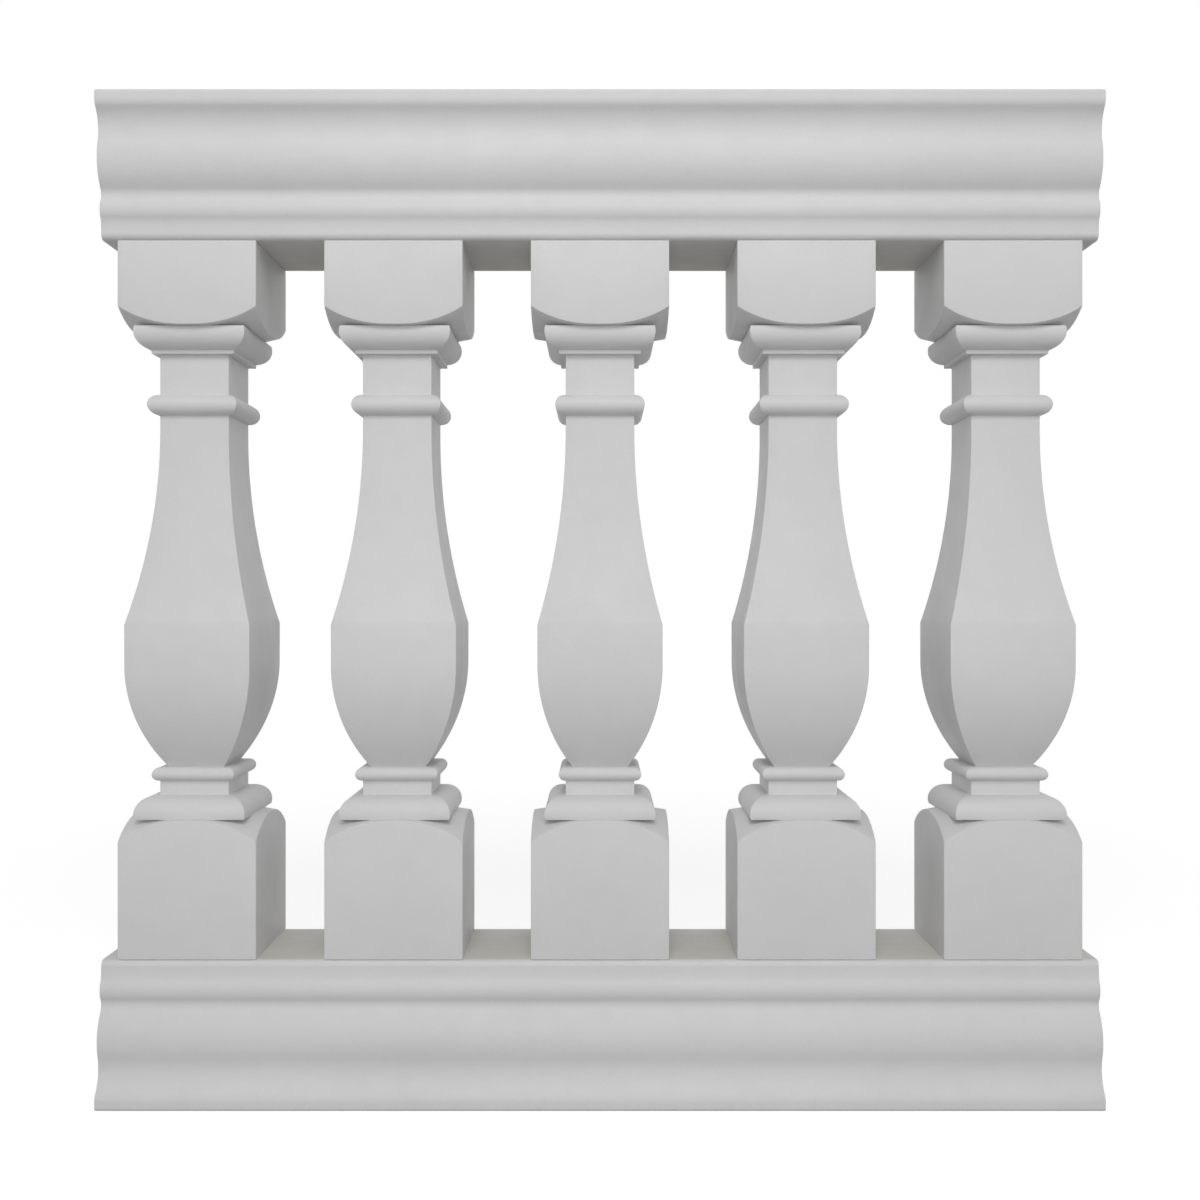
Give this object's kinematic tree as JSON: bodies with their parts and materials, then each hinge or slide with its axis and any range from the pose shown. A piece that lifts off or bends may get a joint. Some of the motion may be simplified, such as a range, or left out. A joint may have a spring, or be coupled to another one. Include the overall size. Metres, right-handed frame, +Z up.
{
  "type": "deck railing section",
  "caption": "Balustrade section for a deck or porch: moulded top and bottom rails with four-sided vase balusters between them, each on a steel pipe core.",
  "frame": {"origin": "bottom centre of the bottom rail, on the surface that it stands on", "axes": "+X along the rails, +Z up, front and back alike on -Y and +Y"},
  "size_m": [0.9144, 0.169, 0.9246],
  "materials": {
    "moulding": "matte white primed moulded foam skin",
    "galvanised_pipe": "galvanised, drawn"
  },
  "bodies": {
    "root": {"top_rail": "moulding", "bottom_rail": "moulding", "baluster_1": "moulding", "baluster_2": "moulding", "baluster_3": "moulding", "baluster_4": "moulding", "baluster_5": "moulding", "steel_pipe_1": "galvanised_pipe", "steel_pipe_2": "galvanised_pipe", "steel_pipe_3": "galvanised_pipe", "steel_pipe_4": "galvanised_pipe", "steel_pipe_5": "galvanised_pipe"}
  },
  "joints": []
}
